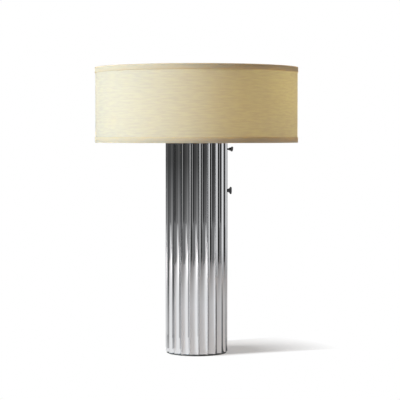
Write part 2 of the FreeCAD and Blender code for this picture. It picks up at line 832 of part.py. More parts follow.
for name, level, gap, turn in (
    ("upper", upper_level, s.upper_key_gap, s.upper_key_turn),
    ("lower", lower_level, s.lower_key_gap, s.lower_key_turn),
):
    bush_low = switch_face - s.bush_root
    shaft_low = switch_face - s.shaft_root
    shaft_high = nut_face + gap
    running = s.shaft_radius + s.fit
    keep(f"{name}_switch_body", turned_across(f"{name}_switch_body", [
        (0, switch_back),
        (s.switch_radius, switch_back),
        (s.switch_radius, switch_face),
        (s.bush_radius + s.fit, switch_face),
        (s.bush_radius + s.fit, bush_low - s.seat_gap),
        (running, bush_low - s.seat_gap),
        (running, shaft_low - s.seat_gap),
        (0, shaft_low - s.seat_gap),
    ], level))
    keep(f"{name}_switch_bush", turned_across(f"{name}_switch_bush", tube_points(
        running, s.bush_radius, bush_low, nut_face), level))
    keep(f"{name}_saddle_washer", combine(
        "Part::Common",
        f"{name}_saddle_washer",
        turned_across(f"{name}_saddle_disc", tube_points(
            s.bush_radius + s.fit, s.switch_nut_radius, crest, saddle_top), level),
        upright_rod(f"{name}_saddle_form", flute_radius - s.fit, 2 * level, flute_centre),
    ))
    nut = doc.addObject("Part::Prism", f"{name}_nut_prism")
    nut.Polygon = 6
    bind(nut, "Circumradius", s.switch_nut_radius)
    bind(nut, "Height", s.switch_nut_height)
    place(nut, x=saddle_top, z=level, turn=90, axis=(0, 1, 0))
    nut_hole = turned_across(f"{name}_nut_hole", rod_points(
        s.bush_radius + s.fit, crest, 2 * nut_face), level)
    keep(f"{name}_switch_nut", cut(f"{name}_switch_nut", nut, nut_hole))
    keep(f"{name}_switch_shaft", turned_across(f"{name}_switch_shaft", [
        (0, shaft_low),
        (s.shaft_radius, shaft_low),
        (s.shaft_radius, shaft_high),
        (s.shaft_tip_radius, shaft_high),
        (s.shaft_tip_radius, shaft_high + s.shaft_tip),
        (0, shaft_high + s.shaft_tip),
    ], level))
    blades = []
    for step in (-1, 1):
        blade = doc.addObject("Part::Box", f"{name}_blade")
        bind(blade, "Length", s.blade_length)
        bind(blade, "Width", s.blade_width)
        bind(blade, "Height", s.blade_thickness)
        place(blade, blade_end, -s.blade_width / 2,
              level + step * s.blade_spacing / 2 - s.blade_thickness / 2)
        blades.append(blade)
    terminals = doc.addObject("Part::Compound", f"{name}_switch_terminals")
    terminals.Links = blades
    keep(f"{name}_switch_terminals", terminals)
    turn_key(f"{name}_turn_key", level, gap, turn)


# Inner leads: between the switches, and from the upper switch up the tie pipe to the splice

link_start = lower_level + s.blade_spacing / 2
link_end = upper_level - s.blade_spacing / 2
lead_tip = blade_end - s.seat_gap
doc.recompute()
lead("link_lead", [
    (lead_tip, link_start),
    (s.lead_stand, link_start),
    (s.lead_stand, link_end),
    (lead_tip, link_end),
], [s.lead_bend, s.lead_bend])
lead("feed_lead", [
    (lead_tip, feed_level),
    (as_size(0), feed_level),
    (as_size(0), pipe_top),
], [s.lead_pipe_bend])


# Build, check and write every piece

doc.recompute()
for item in doc.Objects:
    if "Invalid" in item.State or "Error" in item.State:
        raise RuntimeError(f"{item.Name} failed to build: {item.State}")
for label, item in pieces.items():
    if item.Shape.isNull() or not item.Shape.isValid() or not item.Shape.Solids:
        raise RuntimeError(f"{label} has no sound solid")
os.makedirs("parts", exist_ok=True)
for label, item in pieces.items():
    item.Shape.exportStep(os.path.join("parts", f"{label}.step"))
print(f"{len(pieces)} pieces written")
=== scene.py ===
import math

import bmesh
import bpy
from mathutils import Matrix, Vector


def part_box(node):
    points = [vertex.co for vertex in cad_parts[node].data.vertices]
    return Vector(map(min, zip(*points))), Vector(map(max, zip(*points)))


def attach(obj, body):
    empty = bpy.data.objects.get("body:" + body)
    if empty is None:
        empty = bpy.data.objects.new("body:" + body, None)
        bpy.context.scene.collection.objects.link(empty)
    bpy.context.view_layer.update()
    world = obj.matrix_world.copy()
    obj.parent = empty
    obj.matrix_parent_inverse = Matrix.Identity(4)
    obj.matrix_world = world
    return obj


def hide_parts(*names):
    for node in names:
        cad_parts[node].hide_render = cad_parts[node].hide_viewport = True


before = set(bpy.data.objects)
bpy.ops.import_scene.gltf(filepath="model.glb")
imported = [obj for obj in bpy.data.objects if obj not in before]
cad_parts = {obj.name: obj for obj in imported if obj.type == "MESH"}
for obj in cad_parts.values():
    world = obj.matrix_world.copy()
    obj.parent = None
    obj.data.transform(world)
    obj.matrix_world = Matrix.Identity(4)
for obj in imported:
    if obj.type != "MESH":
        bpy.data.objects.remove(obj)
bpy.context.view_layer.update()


# Felt pad: a disc of grey wool felt, die cut and glued under the iron plate so that the lamp
# doesn't mark the table. Its cut edge is a little ragged and shows as a thin line.

mm = 0.001


def linear(code):
    """Linear colour of an sRGB hex value."""
    channels = [int(code[i:i + 2], 16) / 255 for i in (1, 3, 5)]
    return tuple(c / 12.92 if c <= 0.04045 else ((c + 0.055) / 1.055) ** 2.4 for c in channels) + (1.0,)


def blank(name):
    """A new material with no nodes yet, its tree and the piece's own coordinates."""
    material = bpy.data.materials.new(name)
    material.use_nodes = True
    material.node_tree.nodes.clear()
    return material, material.node_tree, add(material.node_tree, "ShaderNodeTexCoord").outputs["Object"]


def add(tree, kind, inputs={}, **settings):
    """Add a node with its settings. An input is a value, or the socket that feeds it."""
    new = tree.nodes.new(kind)
    for name, value in settings.items():
        setattr(new, name, value)
    for name, value in inputs.items():
        if isinstance(value, bpy.types.NodeSocket):
            tree.links.new(value, new.inputs[name])
        else:
            new.inputs[name].default_value = value
    return new


def take(piece=None):
    """Leave edit mode and select one piece alone, or nothing."""
    if bpy.context.mode != "OBJECT":
        bpy.ops.object.mode_set(mode="OBJECT")
    bpy.ops.object.select_all(action="DESELECT")
    if piece:
        piece.select_set(True)
        bpy.context.view_layer.objects.active = piece


def edit(piece):
    """Open one piece for editing with nothing selected."""
    take(piece)
    bpy.ops.object.mode_set(mode="EDIT")
    bpy.ops.mesh.select_all(action="DESELECT")


def pick(piece, kind, test):
    """Select the vertices, edges or faces of the open piece whose middle passes the test."""
    bpy.ops.mesh.select_mode(type=kind)
    bpy.ops.mesh.select_all(action="DESELECT")
    mesh = bmesh.from_edit_mesh(piece.data)
    if kind == "VERT":
        for corner in mesh.verts:
            corner.select_set(test(corner.co))
    elif kind == "EDGE":
        for edge in mesh.edges:
            edge.select_set(test((edge.verts[0].co + edge.verts[1].co) / 2))
    else:
        for face in mesh.faces:
            face.select_set(test(face.calc_center_median()))
    mesh.select_flush_mode()
    bmesh.update_edit_mesh(piece.data)


def smooth(piece, degrees):
    """Shade a finished piece smooth, with its edges sharp above an angle."""
    take(piece)
    bpy.ops.object.shade_smooth_by_angle(angle=math.radians(degrees))


def fit(piece, material, body, slot, *nodes):
    """Close a finished piece: its place goes into its mesh, and it stands for its CAD nodes."""
    take(piece)
    bpy.ops.object.transform_apply(location=True, rotation=True, scale=True)
    piece.data.materials.clear()
    piece.data.materials.append(material)
    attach(piece, body)
    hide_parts(*nodes)


felt, tree, place = blank("grey_wool_felt")
# Matted wool: matt mid grey, with short paler fibres standing in all directions.
fibres = add(tree, "ShaderNodeTexNoise", {"Vector": place, "Scale": 1 / (0.9 * mm), "Detail": 4.0})
nap = add(tree, "ShaderNodeValToRGB", {"Fac": fibres.outputs["Fac"]})
nap.color_ramp.elements[0].color = linear("#716E66")
nap.color_ramp.elements[1].color = linear("#9C988D")
bump = add(tree, "ShaderNodeBump", {"Height": fibres.outputs["Fac"], "Strength": 0.8, "Distance": 0.3 * mm})
wool = add(tree, "ShaderNodeBsdfPrincipled", {
    "Base Color": nap.outputs["Color"], "Roughness": 0.95, "Sheen Weight": 0.4, "Sheen Roughness": 0.6,
    "Specular IOR Level": 0.2, "Normal": bump.outputs["Normal"]})
add(tree, "ShaderNodeOutputMaterial", {"Surface": wool.outputs["BSDF"]})

felt_rounding, felt_fray, fray_width = 0.3 * mm, 0.12 * mm, 1 * mm
pad_low, pad_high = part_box("felt_pad")
take()
bpy.ops.mesh.primitive_cylinder_add(
    vertices=180, radius=pad_high.x, depth=pad_high.z - pad_low.z,
    location=(0, 0, (pad_low.z + pad_high.z) / 2))
felt_disc = bpy.context.object
felt_disc.name = "felt_disc"
edit(felt_disc)
bpy.ops.mesh.select_mode(type="EDGE")
bpy.ops.mesh.edges_select_sharp(sharpness=math.radians(60))
bpy.ops.mesh.bevel(offset=felt_rounding, segments=2)
pick(felt_disc, "VERT", lambda co: co.xy.length > pad_high.x - fray_width)
bpy.ops.transform.vertex_random(offset=felt_fray, seed=4)
smooth(felt_disc, 40)
fit(felt_disc, felt, "lamp", "felt", "felt_pad")


# Base plate: cast iron disc that weights the lamp, painted satin charcoal. Its lip closes the foot
# of the column, and a washer and nut in its recess pull the tie pipe down.

iron, tree, place = blank("satin_charcoal_paint_on_cast_iron")
# Brushed paint over a sand cast skin: soft broad gloss with a fine orange peel.
skin = add(tree, "ShaderNodeTexNoise", {"Vector": place, "Scale": 1 / (1.6 * mm), "Detail": 3.0})
gloss = add(tree, "ShaderNodeMapRange", {"Value": skin.outputs["Fac"], "To Min": 0.38, "To Max": 0.55})
bump = add(tree, "ShaderNodeBump", {"Height": skin.outputs["Fac"], "Strength": 0.25, "Distance": 0.15 * mm})
paint = add(tree, "ShaderNodeBsdfPrincipled", {
    "Base Color": linear("#505050"), "Roughness": gloss.outputs["Result"],
    "Normal": bump.outputs["Normal"]})
add(tree, "ShaderNodeOutputMaterial", {"Surface": paint.outputs["BSDF"]})

zinc, tree, place = blank("zinc_plated_steel")
# Bright zinc over turned steel: grey metal with a soft spangle and faint turning marks.
spangle = add(tree, "ShaderNodeTexVoronoi", {"Vector": place, "Scale": 1 / (1.2 * mm)})
tone = add(tree, "ShaderNodeValToRGB", {"Fac": spangle.outputs["Distance"]})
tone.color_ramp.elements[0].color = linear("#B9BBBC")
tone.color_ramp.elements[1].color = linear("#9A9C9E")
gloss = add(tree, "ShaderNodeMapRange", {
    "Value": spangle.outputs["Distance"], "To Min": 0.28, "To Max": 0.42})
plating = add(tree, "ShaderNodeBsdfPrincipled", {
    "Base Color": tone.outputs["Color"], "Metallic": 1.0, "Roughness": gloss.outputs["Result"]})
add(tree, "ShaderNodeOutputMaterial", {"Surface": plating.outputs["BSDF"]})


def dress(material, *nodes):
    """Give CAD nodes whose shape is right their real finish."""
    for name in nodes:
        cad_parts[name].material_slots[0].material = material


dress(iron, "base_plate")
dress(zinc, "base_washer", "base_nut", "tie_pipe")


# Fluted column: a brass tube drawn into 22 hollow flutes with crisp edges between them, then copper,
# nickel and chromium plated and buffed to a mirror. It stands on the base plate's lip.

flute_count = 22
arris_radius = 62.5 * mm
flute_depth = 4.15 * mm
column_wall = 1.6 * mm
arris_rounding = 0.22 * mm
arris_margin = 0.01 * mm
flute_steps = 32
bush_hole, cord_hole, hole_margin = 3.55 * mm, 4.85 * mm, 9 * mm
drill_length = 30 * mm
weld_gap = 0.002 * mm

chrome, tree, place = blank("mirror_polished_chrome")
# Chromium plate buffed along the flutes: a cool mirror whose reflections run a little uneven down the
# height, with hairlines too fine to see one by one.
stretch = add(tree, "ShaderNodeMapping", {"Vector": place, "Scale": (1, 1, 0.02)})
hairlines = add(tree, "ShaderNodeTexNoise", {
    "Vector": stretch.outputs["Vector"], "Scale": 1 / (1.5 * mm), "Detail": 2.0})
haze = add(tree, "ShaderNodeMapRange", {"Value": hairlines.outputs["Fac"], "To Min": 0.02, "To Max": 0.05})
ripple = add(tree, "ShaderNodeTexNoise", {"Vector": place, "Scale": 1 / (45 * mm), "Detail": 1.0})
bump = add(tree, "ShaderNodeBump", {
    "Height": ripple.outputs["Fac"], "Strength": 0.5, "Distance": 0.03 * mm})
plate = add(tree, "ShaderNodeBsdfPrincipled", {
    "Base Color": linear("#E2E3E5"), "Metallic": 1.0, "Roughness": haze.outputs["Result"],
    "Normal": bump.outputs["Normal"]})
add(tree, "ShaderNodeOutputMaterial", {"Surface": plate.outputs["BSDF"]})


def vertex(name, point):
    """A new open mesh of one selected vertex, from a plane merged to its middle."""
    take()
    bpy.ops.mesh.primitive_plane_add(size=mm)
    piece = bpy.context.object
    piece.name = name
    bpy.ops.object.mode_set(mode="EDIT")
    bpy.ops.mesh.select_mode(type="VERT")
    bpy.ops.mesh.select_all(action="SELECT")
    bpy.ops.mesh.merge(type="CENTER")
    bpy.ops.transform.translate(value=point)
    return piece


def pull(step):
    """Extrude what is selected by a step."""
    bpy.ops.mesh.extrude_region_move(TRANSFORM_OT_translate={"value": step})


def weld():
    """Merge the open piece's doubles and turn its faces outwards."""
    bpy.ops.mesh.select_all(action="SELECT")
    bpy.ops.mesh.remove_doubles(threshold=weld_gap)
    bpy.ops.mesh.normals_make_consistent(inside=False)


def apply(piece, kind, **settings):
    """Add one modifier and apply it."""
    take(piece)
    modifier = piece.modifiers.new(kind.lower(), kind)
    for name, value in settings.items():
        setattr(modifier, name, value)
    bpy.ops.object.modifier_apply(modifier=modifier.name)


def drill(piece, radius, depth, place=(0, 0, 0), turn=(0, 0, 0), sides=48):
    """Cut a round hole in a piece."""
    take()
    bpy.ops.mesh.primitive_cylinder_add(
        vertices=sides, radius=radius, depth=depth, location=place, rotation=turn)
    bit = bpy.context.object
    apply(piece, "BOOLEAN", operation="DIFFERENCE", object=bit)
    bpy.data.objects.remove(bit)


pitch = 2 * math.pi / flute_count
half_chord = arris_radius * math.sin(pitch / 2)
flute_radius = (half_chord ** 2 + flute_depth ** 2) / (2 * flute_depth)
valley_radius = arris_radius * math.cos(pitch / 2) - flute_depth
flute_centre = valley_radius + flute_radius
flute_sweep = 2 * math.asin(half_chord / flute_radius)
column_low, column_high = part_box("fluted_column")

column = vertex("chromed_column", (arris_radius * math.cos(pitch / 2), -half_chord, column_low.z))
bpy.ops.mesh.spin(
    steps=flute_steps, angle=flute_sweep, center=(flute_centre, 0, column_low.z), axis=(0, 0, 1))
bpy.ops.mesh.select_all(action="SELECT")
bpy.ops.mesh.spin(steps=flute_count, dupli=True, angle=2 * math.pi, center=(0, 0, 0), axis=(0, 0, 1))
bpy.ops.mesh.select_all(action="SELECT")
bpy.ops.mesh.remove_doubles(threshold=weld_gap)
pick(column, "VERT", lambda co: co.xy.length > arris_radius - arris_margin)
bpy.ops.mesh.bevel(offset=arris_rounding, segments=3, affect="VERTICES")
bpy.ops.mesh.select_all(action="SELECT")
pull((0, 0, column_high.z - column_low.z))
holes = {"upper_switch_bush": bush_hole, "lower_switch_bush": bush_hole, "cord_bush": cord_hole}
for node in holes:
    low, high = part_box(node)
    for level in (low.z - hole_margin, high.z + hole_margin):
        bpy.ops.mesh.select_all(action="SELECT")
        bpy.ops.mesh.bisect(plane_co=(0, 0, level), plane_no=(0, 0, 1))
weld()
apply(column, "SOLIDIFY", thickness=column_wall, offset=-1)
for node, radius in holes.items():
    low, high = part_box(node)
    middle = (low + high) / 2
    drill(column, radius, drill_length, middle, (0, math.pi / 2, math.atan2(middle.y, middle.x)))
smooth(column, 45)
apply(column, "WEIGHTED_NORMAL", keep_sharp=True)
fit(column, chrome, "lamp", "chrome", "fluted_column")


# Top cap, check ring, neck and two light cluster: turned brass pieces threaded on the tie pipe, all
# chromium plated like the column, stacked one on the other and clamped by the cluster's nut.

turning_steps = 96


def trace(piece, *points):
    """Draw the open piece's outline on from its selected vertex, through (x, z) points."""
    for x, z in points:
        here = next(corner.co for corner in bmesh.from_edit_mesh(piece.data).verts if corner.select)
        pull((x - here.x, 0, z - here.z))


def arc(x, z, degrees, steps=8):
    """Draw the outline on along an arc about (x, z). A positive turn is clockwise seen from the front."""
    bpy.ops.mesh.spin(steps=steps, angle=-math.radians(degrees), center=(x, 0, z), axis=(0, 1, 0))


def lathe(steps):
    """Turn the open piece's outline once round the upright axis and close it."""
    bpy.ops.mesh.select_all(action="SELECT")
    bpy.ops.mesh.spin(steps=steps, angle=2 * math.pi, center=(0, 0, 0), axis=(0, 0, 1))
    weld()


def turned(piece, rounding):
    """Turn the open piece's outline, break its edges and shade it."""
    lathe(turning_steps)
    apply(piece, "BEVEL", width=rounding, segments=3, limit_method="ANGLE", angle_limit=math.radians(30))
    smooth(piece, 35)


pipe_hole = 5.05 * mm
cap_edge, cap_gap, cap_rim = 0.9 * mm, 0.3 * mm, 2 * mm
low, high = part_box("top_cap")
cap_underside = column_high.z
cap_rim_outer = valley_radius - column_wall - cap_gap
cap_rim_inner = cap_rim_outer - cap_rim
top_plate = vertex("top_plate", (pipe_hole, 0, cap_underside))
trace(top_plate, (cap_rim_inner, cap_underside), (cap_rim_inner, low.z), (cap_rim_outer, low.z),
      (cap_rim_outer, cap_underside), (high.x, cap_underside), (high.x, high.z), (pipe_hole, high.z),
      (pipe_hole, cap_underside))
turned(top_plate, cap_edge)
fit(top_plate, chrome, "lamp", "chrome", "top_cap")

cluster_wall, cluster_edge = 1.5 * mm, 0.5 * mm
neck_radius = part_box("neck_spacer")[1].x
low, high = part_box("cluster_body")
cup_inside = high.x - cluster_wall
cluster_cup = vertex("cluster_cup", (pipe_hole, 0, low.z))
trace(cluster_cup, (neck_radius, low.z), (high.x, low.z + cluster_wall), (high.x, high.z),
      (cup_inside, high.z), (cup_inside, low.z + 2 * cluster_wall), (neck_radius, low.z + cluster_wall),
      (pipe_hole, low.z + cluster_wall), (pipe_hole, low.z))
turned(cluster_cup, cluster_edge)
cluster_cup.rotation_euler.z = math.pi / turning_steps
port_low, port_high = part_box("right_nipple")
port_level = (port_low.z + port_high.z) / 2
drill(cluster_cup, pipe_hole, 3 * high.x, (0, 0, port_level), (0, math.pi / 2, 0))
smooth(cluster_cup, 35)
fit(cluster_cup, chrome, "lamp", "chrome", "cluster_body")

dress(chrome, "check_ring", "neck_spacer", "cluster_cover", "riser_stem")
dress(zinc, "cluster_nut")


# Lamp holders: glazed porcelain bodies screwed on brass nipples at the two sides of the cluster, each with
# a brass screw shell and a centre contact inside, and one lead through the nipple.

porcelain, tree, place = blank("glazed_white_porcelain")
# Fired glaze over a white body: wet gloss, a faint waviness and a little grey where the glaze is thin.
glaze = add(tree, "ShaderNodeTexNoise", {"Vector": place, "Scale": 1 / (9 * mm), "Detail": 2.0})
tint = add(tree, "ShaderNodeValToRGB", {"Fac": glaze.outputs["Fac"]})
tint.color_ramp.elements[0].color = linear("#E4E1DA")
tint.color_ramp.elements[1].color = linear("#F0EEE8")
bump = add(tree, "ShaderNodeBump", {"Height": glaze.outputs["Fac"], "Strength": 0.3, "Distance": 0.2 * mm})
fired = add(tree, "ShaderNodeBsdfPrincipled", {
    "Base Color": tint.outputs["Color"], "Roughness": 0.18, "Coat Weight": 0.6, "Coat Roughness": 0.06,
    "Normal": bump.outputs["Normal"]})
add(tree, "ShaderNodeOutputMaterial", {"Surface": fired.outputs["BSDF"]})

brass, tree, place = blank("plain_drawn_brass")
# Bare brass: yellow metal with fine drawing lines and a little brown tarnish.
tarnish = add(tree, "ShaderNodeTexNoise", {"Vector": place, "Scale": 1 / (3 * mm), "Detail": 4.0})
tint = add(tree, "ShaderNodeValToRGB", {"Fac": tarnish.outputs["Fac"]})
tint.color_ramp.elements[0].color = linear("#A98A4C")
tint.color_ramp.elements[1].color = linear("#D3B56F")
gloss = add(tree, "ShaderNodeMapRange", {"Value": tarnish.outputs["Fac"], "To Min": 0.22, "To Max": 0.4})
metal = add(tree, "ShaderNodeBsdfPrincipled", {
    "Base Color": tint.outputs["Color"], "Metallic": 1.0, "Roughness": gloss.outputs["Result"]})
add(tree, "ShaderNodeOutputMaterial", {"Surface": metal.outputs["BSDF"]})

sheath, tree, place = blank("smooth_ivory_sheath")
# Extruded sheath on the inner leads: dull satin with a slight mottle.
mottle = add(tree, "ShaderNodeTexNoise", {"Vector": place, "Scale": 1 / (2.5 * mm), "Detail": 2.0})
tint = add(tree, "ShaderNodeValToRGB", {"Fac": mottle.outputs["Fac"]})
tint.color_ramp.elements[0].color = linear("#D5CDB8")
tint.color_ramp.elements[1].color = linear("#E2DCCB")
plastic = add(tree, "ShaderNodeBsdfPrincipled", {"Base Color": tint.outputs["Color"], "Roughness": 0.45})
add(tree, "ShaderNodeOutputMaterial", {"Surface": plastic.outputs["BSDF"]})

socket_bore = 14.6 * mm
socket_back = 9 * mm
socket_rounding = 3 * mm
lip_rounding = 0.35 * mm
groove_depth, groove_width, groove_setback = 0.8 * mm, 2.2 * mm, 8 * mm
nipple_reach = 7 * mm


def twin(piece, name):
    """A copy of a finished piece, with a mesh of its own."""
    take(piece)
    bpy.ops.object.duplicate()
    copy = bpy.context.object
    copy.name = name
    return copy


def lay(piece, side):
    """Lay a piece that was turned about the upright axis along the arm of one holder."""
    piece.rotation_euler = (0, side * math.pi / 2, 0)
    piece.location = (0, 0, port_level)


low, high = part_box("right_socket_body")
root, mouth = low.x, high.x
radius = high.z - port_level
groove = mouth - groove_setback
holder = vertex("right_holder", (pipe_hole, 0, root))
trace(holder, (radius - socket_rounding, root))
arc(radius - socket_rounding, root + socket_rounding, -90)
trace(holder, (radius, groove - groove_width), (radius - groove_depth, groove - groove_width),
      (radius - groove_depth, groove), (radius, groove), (radius, mouth), (socket_bore, mouth),
      (socket_bore, root + socket_back), (0, root + socket_back), (0, root + nipple_reach),
      (pipe_hole, root + nipple_reach), (pipe_hole, root))
turned(holder, lip_rounding)
for hand, side, piece in (("right", 1, holder), ("left", -1, twin(holder, "left_holder"))):
    lay(piece, side)
    fit(piece, porcelain, "lamp", "porcelain", hand + "_socket_body")
    dress(brass, hand + "_nipple", hand + "_screw_shell", hand + "_centre_contact")
    dress(sheath, hand + "_socket_lead")


# Bulbs: round frosted glass globes blown with a slim neck, cemented into rolled aluminium screw caps that
# fill the holders' shells.

aluminium, tree, place = blank("rolled_aluminium")
# Thin rolled sheet: pale soft metal with streaks round the thread.
streak = add(tree, "ShaderNodeTexNoise", {"Vector": place, "Scale": 1 / (1.5 * mm), "Detail": 3.0})
tint = add(tree, "ShaderNodeValToRGB", {"Fac": streak.outputs["Fac"]})
tint.color_ramp.elements[0].color = linear("#B5B6B6")
tint.color_ramp.elements[1].color = linear("#D0D1D0")
metal = add(tree, "ShaderNodeBsdfPrincipled", {
    "Base Color": tint.outputs["Color"], "Metallic": 1.0, "Roughness": 0.32})
add(tree, "ShaderNodeOutputMaterial", {"Surface": metal.outputs["BSDF"]})

glass_passing = 0.35

frosted, tree, place = blank("inside_frosted_glass")
# Acid frosted inside, smooth outside: milky white glass with a clear gloss, and it passes soft light.
etch = add(tree, "ShaderNodeTexNoise", {"Vector": place, "Scale": 1 / (6 * mm), "Detail": 3.0})
tint = add(tree, "ShaderNodeValToRGB", {"Fac": etch.outputs["Fac"]})
tint.color_ramp.elements[0].color = linear("#EDEAE2")
tint.color_ramp.elements[1].color = linear("#F6F4EE")
glass = add(tree, "ShaderNodeBsdfPrincipled", {
    "Base Color": tint.outputs["Color"], "Roughness": 0.3, "Coat Weight": 0.8, "Coat Roughness": 0.03})
passing = add(tree, "ShaderNodeBsdfTranslucent", {"Color": linear("#F4F1EA")})
milk = add(tree, "ShaderNodeMixShader", {
    0: glass_passing, 1: glass.outputs["BSDF"], 2: passing.outputs["BSDF"]})
add(tree, "ShaderNodeOutputMaterial", {"Surface": milk.outputs["Shader"]})

bulb_radius, bulb_neck, bulb_shoulder = 30 * mm, 12.6 * mm, 45
glass_thickness = 1 * mm
shoulder_share = math.cos(math.radians(bulb_shoulder))
flare_radius = (bulb_radius * shoulder_share - bulb_neck) / (1 - shoulder_share)
low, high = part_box("right_bulb_globe")
root, tip = low.x, high.x
centre = tip - bulb_radius
flare_level = centre - (bulb_radius + flare_radius) * math.sin(math.radians(bulb_shoulder))
bulb = vertex("right_globe", (bulb_neck, 0, root))
trace(bulb, (bulb_neck, flare_level))
arc(bulb_neck + flare_radius, flare_level, bulb_shoulder, 12)
arc(0, centre, -90 - bulb_shoulder, 36)
lathe(turning_steps)
apply(bulb, "SOLIDIFY", thickness=glass_thickness, offset=-1)
smooth(bulb, 50)
for hand, side, piece in (("right", 1, bulb), ("left", -1, twin(bulb, "left_globe"))):
    lay(piece, side)
    fit(piece, frosted, "lamp", "frosted_glass", hand + "_bulb_globe")
    dress(aluminium, hand + "_bulb_cap")


# Wire splice and inner leads: a crimped insulating cap over the joined conductors in the cluster, and the
# leads that run up inside the tie pipe and between the switches.

nylon, tree, place = blank("moulded_black_nylon")
# Injection moulded: near black, satin, with a fine spark eroded grain.
grain = add(tree, "ShaderNodeTexNoise", {"Vector": place, "Scale": 1 / (0.4 * mm), "Detail": 2.0})
gloss = add(tree, "ShaderNodeMapRange", {"Value": grain.outputs["Fac"], "To Min": 0.4, "To Max": 0.6})
bump = add(tree, "ShaderNodeBump", {"Height": grain.outputs["Fac"], "Strength": 0.3, "Distance": 0.05 * mm})
plastic = add(tree, "ShaderNodeBsdfPrincipled", {
    "Base Color": linear("#1B1B1C"), "Roughness": gloss.outputs["Result"],
    "Normal": bump.outputs["Normal"]})
add(tree, "ShaderNodeOutputMaterial", {"Surface": plastic.outputs["BSDF"]})

dress(nylon, "wire_splice", "cord_bush", "bush_keeper")
dress(sheath, "link_lead", "feed_lead")


# Finial: a small ball turned from brass bar and chromium plated, screwed on the stem's stud to hold the
# spider's hub down.

finial_hole, finial_hole_depth = 3.15 * mm, 9 * mm
finial_foot, finial_foot_height = 7 * mm, 2 * mm
finial_waist, finial_neck, finial_ball, finial_edge = 4.2 * mm, 2.5 * mm, 6.5 * mm, 0.35 * mm
low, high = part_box("finial")
waist_level = low.z + finial_foot_height + finial_neck
ball_level = high.z - finial_ball
ball_start = math.degrees(math.asin((ball_level - waist_level) / finial_ball))
ball_finial = vertex("ball_finial", (finial_hole, 0, low.z))
trace(ball_finial, (finial_foot, low.z), (finial_foot, low.z + finial_foot_height),
      (finial_waist, waist_level))
arc(0, ball_level, -90 - ball_start, 24)
trace(ball_finial, (0, low.z + finial_hole_depth), (finial_hole, low.z + finial_hole_depth),
      (finial_hole, low.z))
turned(ball_finial, finial_edge)
fit(ball_finial, chrome, "lamp", "chrome", "finial")


# Shade cloth: cream silk and linen cloth with a slub weft, bonded round a styrene drum with one upright
# lap at the back. It lets through part of the light that falls on it from inside.

slub_length, slub_height = 24 * mm, 3.4 * mm
slub_thin, slub_thick = 0.36, 0.64
weft_spacing, weft_per_wave, weft_relief = 1 * mm, 3.18, 0.25
cloth_passing = 0.5

cloth, tree, place = blank("slub_woven_cream_cloth")
# Pale silk and linen threads: ivory where light falls on it, honey coloured where light comes through it.
along = add(tree, "ShaderNodeUVMap", uv_map="weave")
# Slubs are thick places in the weft, which show as long low streaks.
streaks = add(tree, "ShaderNodeMapping", {
    "Vector": along.outputs["UV"], "Scale": (1 / slub_length, 1 / slub_height, 1)})
slub = add(tree, "ShaderNodeTexNoise", {"Vector": streaks.outputs["Vector"], "Scale": 1.0, "Detail": 3.0})
tint = add(tree, "ShaderNodeValToRGB", {"Fac": slub.outputs["Fac"]})
tint.color_ramp.elements[0].position = slub_thin
tint.color_ramp.elements[0].color = linear("#E9F4EC")
tint.color_ramp.elements[1].position = slub_thick
tint.color_ramp.elements[1].color = linear("#D9E3E4")
honey = add(tree, "ShaderNodeValToRGB", {"Fac": slub.outputs["Fac"]})
honey.color_ramp.elements[0].position = slub_thin
honey.color_ramp.elements[0].color = linear("#E2B550")
honey.color_ramp.elements[1].position = slub_thick
honey.color_ramp.elements[1].color = linear("#FFE07D")
# Weft threads lie 0.5 mm apart; they are drawn 1 mm apart, which still only just shows. The wave texture
# draws 3.18 of them in each unit of its scale.
weft = add(tree, "ShaderNodeTexWave", {
    "Vector": along.outputs["UV"], "Scale": 1 / (weft_per_wave * weft_spacing), "Distortion": 1.2,
    "Detail": 1.0}, bands_direction="Y")
threads = add(tree, "ShaderNodeMath", {0: weft.outputs["Fac"], 1: weft_relief, 2: slub.outputs["Fac"]},
              operation="MULTIPLY_ADD")
bump = add(tree, "ShaderNodeBump", {
    "Height": threads.outputs["Value"], "Strength": 0.07, "Distance": 0.25 * mm})
face = add(tree, "ShaderNodeBsdfPrincipled", {
    "Base Color": tint.outputs["Color"], "Roughness": 0.75, "Sheen Weight": 0.2, "Sheen Roughness": 0.4,
    "Specular IOR Level": 0.1, "Normal": bump.outputs["Normal"]})
through = add(tree, "ShaderNodeBsdfTranslucent", {"Color": honey.outputs["Color"]})
woven = add(tree, "ShaderNodeMixShader", {
    0: cloth_passing, 1: face.outputs["BSDF"], 2: through.outputs["BSDF"]})
add(tree, "ShaderNodeOutputMaterial", {"Surface": woven.outputs["Shader"]})

bond, tree, place = blank("clear_bonding_layer")
# The glued faces between cloth and lining: light passes on, scattered.
passing = add(tree, "ShaderNodeBsdfTranslucent", {"Color": linear("#FAFAFA")})
add(tree, "ShaderNodeOutputMaterial", {"Surface": passing.outputs["BSDF"]})

cloth_low, cloth_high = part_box("shade_cloth")
cloth_radius = cloth_high.x
cloth_thickness = 0.65 * mm
lap, lap_step = 12 * mm, 0.45 * mm
skin_margin, wall_tilt = 0.1 * mm, 0.5
shade_steps = 240


def drum(name, inner, outer, low, high):
    """A thin upright tube with its ends closed, turned from an upright wall section."""
    piece = vertex(name, (inner, 0, low))
    pull((outer - inner, 0, 0))
    pull((0, 0, high - low))
    pull((inner - outer, 0, 0))
    pull((0, 0, low - high))
    lathe(shade_steps)
    smooth(piece, 40)
    return piece


def unroll(piece, radius):
    """Lay the drum's map flat in metres: along the weft, and up. The seam is at the back."""
    weave = piece.data.uv_layers.new(name="weave")
    for panel in piece.data.polygons:
        around = math.atan2(panel.center.x, -panel.center.y)
        for loop in panel.loop_indices:
            co = piece.data.vertices[piece.data.loops[loop].vertex_index].co
            turn = math.atan2(co.x, -co.y)
            turn += 2 * math.pi * round((around - turn) / (2 * math.pi))
            weave.data[loop].uv = (turn * radius, co.z)


